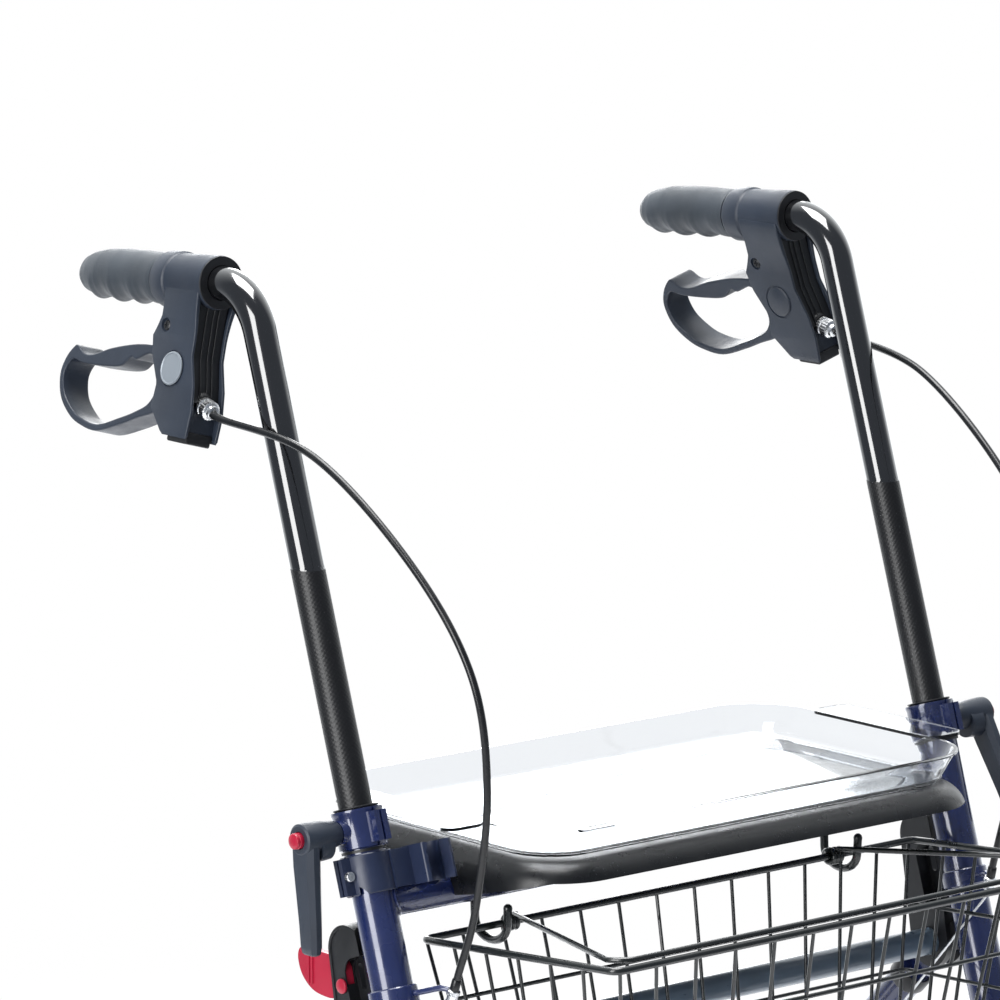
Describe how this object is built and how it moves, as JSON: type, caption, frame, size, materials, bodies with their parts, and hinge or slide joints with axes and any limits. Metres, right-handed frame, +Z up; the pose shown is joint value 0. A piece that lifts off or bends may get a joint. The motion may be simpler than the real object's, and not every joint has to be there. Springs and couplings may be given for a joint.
{
  "type": "folding rollator walker",
  "caption": "Folding four-wheeled walker with looped hand brakes, height-adjustable handles, moulded seat, clear lift-off tray and wire basket.",
  "frame": {"origin": "on the floor, under the middle of the walker's box, frame open and handles at their shown height", "axes": "+Z up, -Y forward, +X to the user's left; the user stands at +Y and faces -Y"},
  "size_m": [0.6256, 0.664, 0.9825],
  "materials": {
    "navy_paint": "glossy navy paint",
    "black_tube": "glossy black paint",
    "black_plastic": "moulded slate black",
    "grip_rubber": "soft grey-black",
    "seat_plastic": "satin moulded",
    "clear_plastic": "clear moulded",
    "red_plastic": "crimson",
    "wire_black": "black coated wire",
    "steel": "bright plated",
    "tyre": "solid soft tread",
    "wheel_plastic": "moulded dark grey",
    "cable_sheath": "black sheath"
  },
  "bodies": {
    "rear_frame": {"left_rear_leg": "navy_paint", "right_rear_leg": "navy_paint", "pivot_tube": "navy_paint", "left_rear_axle": "steel", "right_rear_axle": "steel"},
    "front_frame": {"left_front_leg": "navy_paint", "right_front_leg": "navy_paint", "seat_cross_tube": "navy_paint", "left_collar": "navy_paint", "right_collar": "navy_paint", "left_lock_housing": "black_plastic", "right_lock_housing": "black_plastic", "left_caster_head": "black_plastic", "right_caster_head": "black_plastic", "left_cable_stop": "steel", "right_cable_stop": "steel", "right_clip_bracket": "black_plastic", "seat": "seat_plastic", "left_basket_hook": "wire_black", "right_basket_hook": "wire_black", "left_brake_wire": "steel", "right_brake_wire": "steel"},
    "tray": {"tray": "clear_plastic"},
    "basket": {"basket": "wire_black"},
    "basket_bail": {"basket_handle": "wire_black"},
    "left_handle": {"left_handle_tube": "black_tube", "left_brake_housing": "black_plastic", "left_grip": "grip_rubber", "left_lever_pin": "steel", "left_adjuster": "steel", "left_brake_cable": "cable_sheath"},
    "left_lever": {"left_brake_lever": "black_plastic"},
    "left_clamp": {"left_clamp_lever": "black_plastic"},
    "left_button": {"left_clamp_button": "red_plastic"},
    "left_caster": {"left_caster_fork": "black_plastic", "left_front_axle": "steel"},
    "left_front_wheel": {"left_front_tyre": "tyre", "left_front_rim": "wheel_plastic"},
    "left_rear_wheel": {"left_rear_tyre": "tyre", "left_rear_rim": "wheel_plastic"},
    "left_rear_brake": {"left_brake_arm": "black_plastic"},
    "right_handle": {"right_handle_tube": "black_tube", "right_brake_housing": "black_plastic", "right_grip": "grip_rubber", "right_lever_pin": "steel", "right_adjuster": "steel", "right_brake_cable": "cable_sheath"},
    "right_lever": {"right_brake_lever": "black_plastic"},
    "right_clamp": {"right_clamp_lever": "black_plastic"},
    "right_button": {"right_clamp_button": "red_plastic"},
    "right_catch": {"right_fold_catch": "red_plastic"},
    "right_caster": {"right_caster_fork": "black_plastic", "right_front_axle": "steel"},
    "right_front_wheel": {"right_front_tyre": "tyre", "right_front_rim": "wheel_plastic"},
    "right_rear_wheel": {"right_rear_tyre": "tyre", "right_rear_rim": "wheel_plastic"},
    "right_rear_brake": {"right_brake_arm": "black_plastic"}
  },
  "joints": [
    {"name": "fold", "type": "hinge", "parent": "rear_frame", "child": "front_frame", "pos_m": [0, -0.1215, 0.475], "axis": [1, 0, 0], "range_deg": [0, 38], "deforming": ["left_brake_wire", "right_brake_wire"]},
    {"name": "tray_lift_off", "type": "slide", "parent": "front_frame", "child": "tray", "axis": [0, 0, 1], "range_m": [0, 0.36]},
    {"name": "basket_lift_off", "type": "slide", "parent": "front_frame", "child": "basket", "axis": [0, -0.9781, 0.2079], "range_m": [0, 0.24]},
    {"name": "basket_bail_swing", "type": "hinge", "parent": "basket", "child": "basket_bail", "pos_m": [0, -0.131, 0.55787], "axis": [-1, 0, 0], "range_deg": [0, 9]},
    {"name": "left_handle_height", "type": "slide", "parent": "front_frame", "child": "left_handle", "axis": [0, 0.3074, 0.9516], "range_m": [-0.15, 0.03], "deforming": ["left_brake_cable"]},
    {"name": "left_brake_squeeze", "type": "hinge", "parent": "left_handle", "child": "left_lever", "pos_m": [0.26746, 0.04797, 0.90598], "axis": [0.9636, 0.032, 0.2653], "range_deg": [0, 9], "stiffness_Nm_per_rad": 1.5},
    {"name": "left_clamp_turn", "type": "hinge", "parent": "front_frame", "child": "left_clamp", "pos_m": [0.2546, -0.11154, 0.6275], "axis": [1, 0, 0], "range_deg": [-120, 120]},
    {"name": "left_button_press", "type": "slide", "parent": "left_clamp", "child": "left_button", "axis": [-1, 0, 0], "range_m": [0, 0.0025], "stiffness_N_per_m": 400},
    {"name": "left_caster_swivel", "type": "hinge", "parent": "front_frame", "child": "left_caster", "pos_m": [0.2546, -0.2775, 0], "axis": [0, 0, 1], "continuous": true},
    {"name": "left_front_wheel_spin", "type": "hinge", "parent": "left_caster", "child": "left_front_wheel", "pos_m": [0.2546, -0.2325, 0.1], "axis": [1, 0, 0], "continuous": true},
    {"name": "left_rear_wheel_spin", "type": "hinge", "parent": "rear_frame", "child": "left_rear_wheel", "pos_m": [0.292, 0.2325, 0.1], "axis": [1, 0, 0], "continuous": true},
    {"name": "left_rear_brake_press", "type": "hinge", "parent": "rear_frame", "child": "left_rear_brake", "pos_m": [0.2546, 0.13983, 0.19817], "axis": [-1, 0, 0], "range_deg": [0, 2.1]},
    {"name": "right_handle_height", "type": "slide", "parent": "front_frame", "child": "right_handle", "axis": [0, 0.3074, 0.9516], "range_m": [-0.15, 0.03], "deforming": ["right_brake_cable"]},
    {"name": "right_brake_squeeze", "type": "hinge", "parent": "right_handle", "child": "right_lever", "pos_m": [-0.26746, 0.04797, 0.90598], "axis": [0.9636, -0.032, -0.2653], "range_deg": [0, 9], "stiffness_Nm_per_rad": 1.5},
    {"name": "right_clamp_turn", "type": "hinge", "parent": "front_frame", "child": "right_clamp", "pos_m": [-0.2546, -0.11154, 0.6275], "axis": [1, 0, 0], "range_deg": [-120, 120]},
    {"name": "right_button_press", "type": "slide", "parent": "right_clamp", "child": "right_button", "axis": [1, 0, 0], "range_m": [0, 0.0025], "stiffness_N_per_m": 400},
    {"name": "right_caster_swivel", "type": "hinge", "parent": "front_frame", "child": "right_caster", "pos_m": [-0.2546, -0.2775, 0], "axis": [0, 0, 1], "continuous": true},
    {"name": "right_front_wheel_spin", "type": "hinge", "parent": "right_caster", "child": "right_front_wheel", "pos_m": [-0.2546, -0.2325, 0.1], "axis": [1, 0, 0], "continuous": true},
    {"name": "right_rear_wheel_spin", "type": "hinge", "parent": "rear_frame", "child": "right_rear_wheel", "pos_m": [-0.292, 0.2325, 0.1], "axis": [1, 0, 0], "continuous": true},
    {"name": "right_rear_brake_press", "type": "hinge", "parent": "rear_frame", "child": "right_rear_brake", "pos_m": [-0.2546, 0.13983, 0.19817], "axis": [-1, 0, 0], "range_deg": [0, 2.1]},
    {"name": "right_catch_turn", "type": "hinge", "parent": "front_frame", "child": "right_catch", "pos_m": [-0.2546, -0.10552, 0.52448], "axis": [1, 0, 0], "range_deg": [0, 20], "stiffness_Nm_per_rad": 0.3}
  ],
  "couplings": [
    {"joint": "left_rear_brake_press", "follows": "left_brake_squeeze", "ratio": 0.23},
    {"joint": "right_rear_brake_press", "follows": "right_brake_squeeze", "ratio": 0.23}
  ]
}
